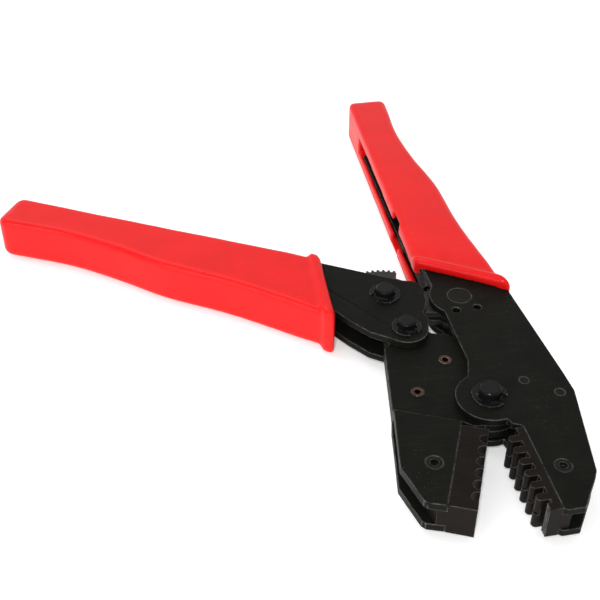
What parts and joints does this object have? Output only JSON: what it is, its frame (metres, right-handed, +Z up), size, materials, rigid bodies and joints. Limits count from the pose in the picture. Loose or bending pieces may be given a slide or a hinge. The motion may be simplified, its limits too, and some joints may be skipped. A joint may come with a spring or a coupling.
{
  "type": "hand crimping tool",
  "caption": "Ratchet hand crimping tool lying on its side, jaws open, with a toothed die set in black plates and two red sleeved handles.",
  "frame": {"origin": "middle of the underside of the whole tool, as it lies on its side", "axes": "+Z up through the thickness of the plates, +Y along the fixed handle from the jaws to its end, +X from the moving handle side to the fixed side"},
  "size_m": [0.1686, 0.2226, 0.0181],
  "materials": {
    "black_plate": "satin black oxide on ground steel plate",
    "oxide_die": "brownish black oxide on machined steel",
    "black_hardware": "black oxide, slightly worn",
    "hardened_link": "dark hardened steel",
    "copper_rivet": "copper-toned hollow rivet",
    "spring_steel": "oiled spring wire",
    "red_grip": "bright red dipped PVC, satin gloss"
  },
  "bodies": {
    "frame": {"frame_plate_upper": "black_plate", "frame_plate_lower": "black_plate", "frame_spacer_plate": "black_plate", "frame_rivets": "black_hardware", "fixed_handle_spacers": "black_hardware", "spring_anchor_pin": "black_hardware", "fixed_die": "oxide_die", "fixed_die_screw": "black_hardware", "main_pivot_pin": "black_hardware", "main_pivot_clip": "black_hardware", "toggle_adjust_pin": "black_hardware", "adjuster_wheel": "black_hardware", "adjuster_lock_screw": "black_hardware", "fixed_grip": "red_grip", "return_spring": "spring_steel"},
    "moving_jaw": {"jaw_plate_upper": "black_plate", "jaw_plate_lower": "black_plate", "jaw_rivets": "copper_rivet", "moving_die": "oxide_die", "moving_die_screw": "black_hardware", "handle_pivot_pin": "black_hardware", "handle_pivot_clip": "black_hardware"},
    "moving_handle": {"handle_plate_upper": "black_plate", "handle_plate_lower": "black_plate", "moving_handle_spacers": "black_hardware", "toggle_pin": "black_hardware", "toggle_pin_clip": "black_hardware", "pawl_pin": "black_hardware", "pawl_spring": "spring_steel", "moving_grip": "red_grip"},
    "toggle": {"toggle_link": "hardened_link", "link_spring_pin": "black_hardware"},
    "pawl": {"pawl": "hardened_link"}
  },
  "joints": [
    {"name": "jaw_pivot", "type": "hinge", "parent": "frame", "child": "moving_jaw", "pos_m": [0.05892, -0.0667, 0.00895], "axis": [0, 0, 1], "range_deg": [0, 24.32]},
    {"name": "handle_pivot", "type": "hinge", "parent": "moving_jaw", "child": "moving_handle", "pos_m": [0.04328, -0.03239, 0.00895], "axis": [0, 0, 1], "range_deg": [-71.96, 0], "stiffness_Nm_per_rad": 0.15, "springref_deg": 20.05},
    {"name": "toggle_pivot", "type": "hinge", "parent": "moving_handle", "child": "toggle", "pos_m": [0.04072, -0.01498, 0.00895], "axis": [0, 0, 1], "range_deg": [0, 79.44]},
    {"name": "pawl_pivot", "type": "hinge", "parent": "moving_handle", "child": "pawl", "pos_m": [0.0182, -0.00301, 0.00895], "axis": [0, 0, 1], "range_deg": [0, 14], "stiffness_Nm_per_rad": 0.02, "springref_deg": -5.73}
  ],
  "couplings": [
    {"joint": "jaw_pivot", "follows": "handle_pivot", "ratio": -0.33769},
    {"joint": "toggle_pivot", "follows": "handle_pivot", "ratio": -1.1037}
  ]
}
